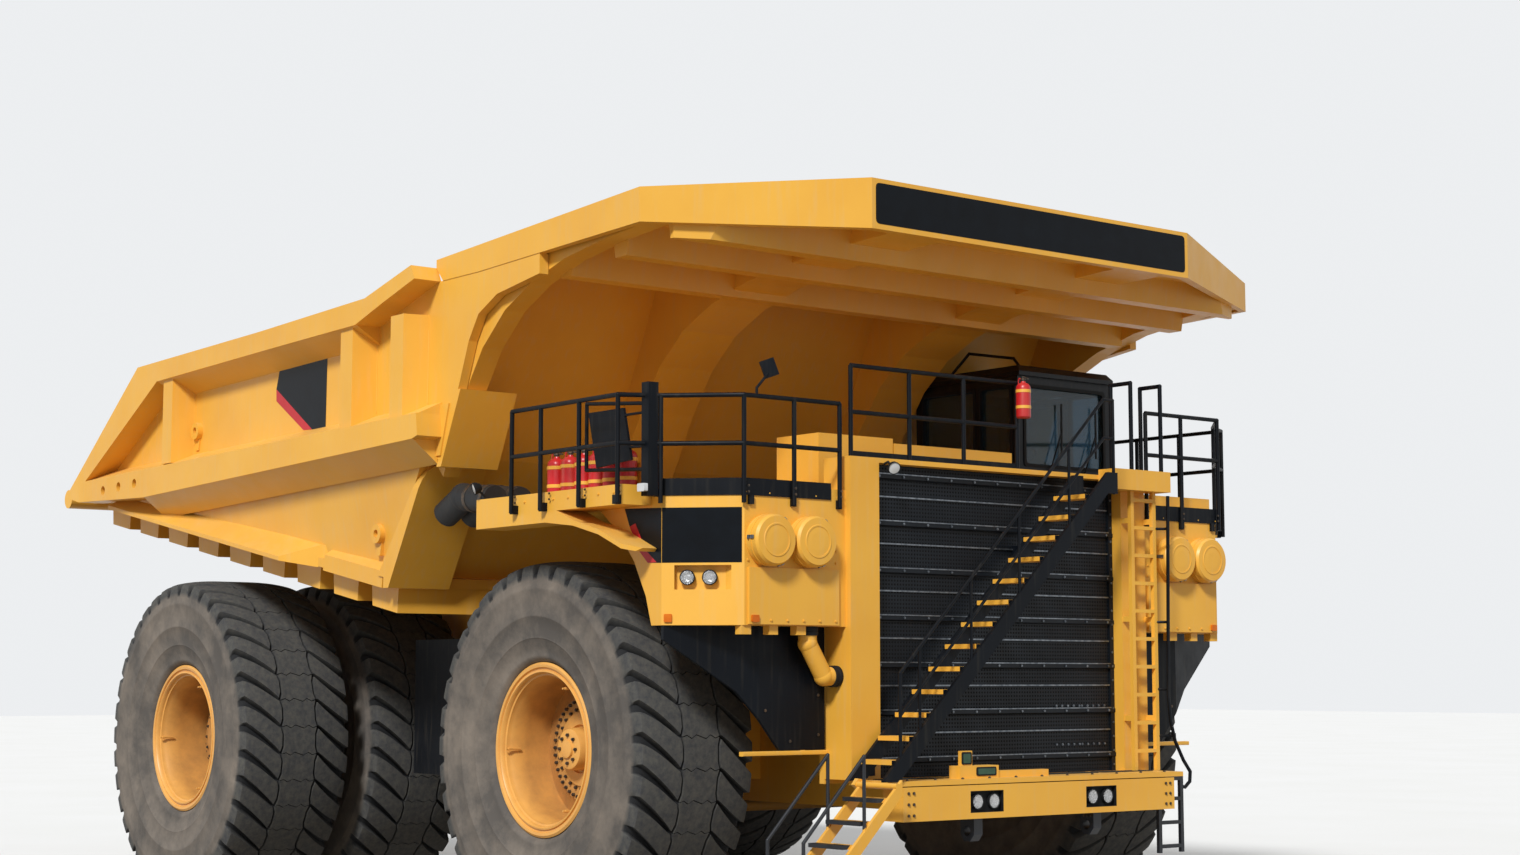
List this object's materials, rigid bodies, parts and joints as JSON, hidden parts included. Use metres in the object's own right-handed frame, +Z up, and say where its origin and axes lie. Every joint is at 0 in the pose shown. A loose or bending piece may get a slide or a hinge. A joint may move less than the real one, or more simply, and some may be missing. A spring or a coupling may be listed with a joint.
{
  "type": "mining dump truck",
  "caption": "Rigid mining haul truck with a tilting steel bed under a canopy, steered front wheels, dual rear wheels, cab, stairs and decks.",
  "frame": {"origin": "on the ground at the middle of the overall box", "axes": "+X the way it drives, +Y its left, +Z up"},
  "size_m": [15.08, 9.756, 7.8],
  "materials": {
    "yellow_paint": "satin golden yellow enamel",
    "dark_paint": "satin blue black enamel",
    "tyre_rubber": "dull dusty rubber",
    "bright_rod": "polished hard chrome",
    "engine_iron": "dark cast surface",
    "lamp_glass": "clear lens over a bright reflector",
    "cab_glass": "clear tinted glass",
    "cab_trim": "matt dark trim",
    "red_paint": "gloss red enamel"
  },
  "bodies": {
    "chassis": {"frame": "yellow_paint", "bumper": "yellow_paint", "engine_block": "engine_iron", "grille": "dark_paint", "grille_pillars": "yellow_paint", "fender_right": "yellow_paint", "fender_left": "yellow_paint", "centre_deck": "yellow_paint", "air_cleaners": "yellow_paint", "splash_plates": "dark_paint", "headlamps": "lamp_glass", "cab_shell": "dark_paint", "cab_glass": "cab_glass", "cab_roof": "dark_paint", "cab_interior": "cab_trim", "diagonal_stair": "dark_paint", "left_ladder": "yellow_paint", "handrails": "dark_paint", "exhausts": "dark_paint", "deck_boxes": "yellow_paint", "bottles": "red_paint", "mirrors": "dark_paint", "fuel_tank": "yellow_paint", "rear_axle": "yellow_paint", "rear_struts": "yellow_paint", "front_struts": "yellow_paint"},
    "bed": {"bed_floor": "yellow_paint", "bed_beams": "yellow_paint", "bed_side_right": "yellow_paint", "bed_side_left": "yellow_paint", "bed_front_wall": "yellow_paint", "bed_canopy": "yellow_paint", "bed_ribs": "yellow_paint"},
    "wheel_front_right": {"tyre_front_right": "tyre_rubber", "rim_front_right": "yellow_paint"},
    "wheel_front_left": {"tyre_front_left": "tyre_rubber", "rim_front_left": "yellow_paint"},
    "wheels_rear_right": {"tyres_rear_right": "tyre_rubber", "rims_rear_right": "yellow_paint"},
    "wheels_rear_left": {"tyres_rear_left": "tyre_rubber", "rims_rear_left": "yellow_paint"},
    "knuckle_right": {"knuckle_right": "yellow_paint"},
    "knuckle_left": {"knuckle_left": "yellow_paint"},
    "tie_rod": {"tie_rod": "yellow_paint"},
    "hoist_barrels": {"hoist_barrels": "yellow_paint"},
    "hoist_stages": {"hoist_stages": "bright_rod"},
    "hoist_rods": {"hoist_rods": "bright_rod"},
    "cab_door": {"cab_door": "dark_paint"},
    "access_stair": {"access_stair": "yellow_paint"}
  },
  "joints": [
    {"name": "bed_tilt", "type": "hinge", "parent": "chassis", "child": "bed", "pos_m": [-5.2, 0, 3.55], "axis": [0, -1, 0], "range_deg": [0, 45]},
    {"name": "steer_left", "type": "hinge", "parent": "chassis", "child": "knuckle_left", "pos_m": [3.599, 2.02, 2.014], "axis": [0, 0, 1], "range_deg": [-25, 25]},
    {"name": "steer_right", "type": "hinge", "parent": "chassis", "child": "knuckle_right", "pos_m": [3.599, -2.02, 2.014], "axis": [0, 0, 1], "range_deg": [-25, 25]},
    {"name": "roll_front_left", "type": "hinge", "parent": "knuckle_left", "child": "wheel_front_left", "pos_m": [3.599, 2.02, 2.014], "axis": [0, 1, 0], "continuous": true},
    {"name": "roll_front_right", "type": "hinge", "parent": "knuckle_right", "child": "wheel_front_right", "pos_m": [3.599, -2.02, 2.014], "axis": [0, 1, 0], "continuous": true},
    {"name": "roll_rear_left", "type": "hinge", "parent": "chassis", "child": "wheels_rear_left", "pos_m": [-3.596, 3.1, 2.014], "axis": [0, 1, 0], "continuous": true},
    {"name": "roll_rear_right", "type": "hinge", "parent": "chassis", "child": "wheels_rear_right", "pos_m": [-3.596, -3.1, 2.014], "axis": [0, 1, 0], "continuous": true},
    {"name": "tie_rod_slide", "type": "slide", "parent": "chassis", "child": "tie_rod", "axis": [0, 1, 0], "range_m": [-0.27, 0.27]},
    {"name": "hoist_swing", "type": "hinge", "parent": "chassis", "child": "hoist_barrels", "pos_m": [-1, 0, 1.5], "axis": [0, -1, 0], "range_deg": [0, 28.9]},
    {"name": "hoist_stage_slide", "type": "slide", "parent": "hoist_barrels", "child": "hoist_stages", "axis": [0.3737, 0, 0.9276], "range_m": [0, 1.7191]},
    {"name": "hoist_rod_slide", "type": "slide", "parent": "hoist_stages", "child": "hoist_rods", "axis": [0.3737, 0, 0.9276], "range_m": [0, 1.7191]},
    {"name": "door_swing", "type": "hinge", "parent": "chassis", "child": "cab_door", "pos_m": [3.3, 3.72, 5.5], "axis": [0, 0, 1], "range_deg": [0, 85]},
    {"name": "access_stair_fold", "type": "hinge", "parent": "chassis", "child": "access_stair", "pos_m": [7.2, -2.33, 1.72], "axis": [-1, 0, 0], "range_deg": [0, 75]}
  ],
  "couplings": [
    {"joint": "steer_right", "follows": "steer_left", "ratio": 1},
    {"joint": "tie_rod_slide", "follows": "steer_left", "m_per_rad": -0.6},
    {"joint": "hoist_swing", "follows": "bed_tilt", "ratio": 0.63787},
    {"joint": "hoist_stage_slide", "follows": "bed_tilt", "m_per_rad": 2.1825},
    {"joint": "hoist_rod_slide", "follows": "bed_tilt", "m_per_rad": 2.1825}
  ]
}
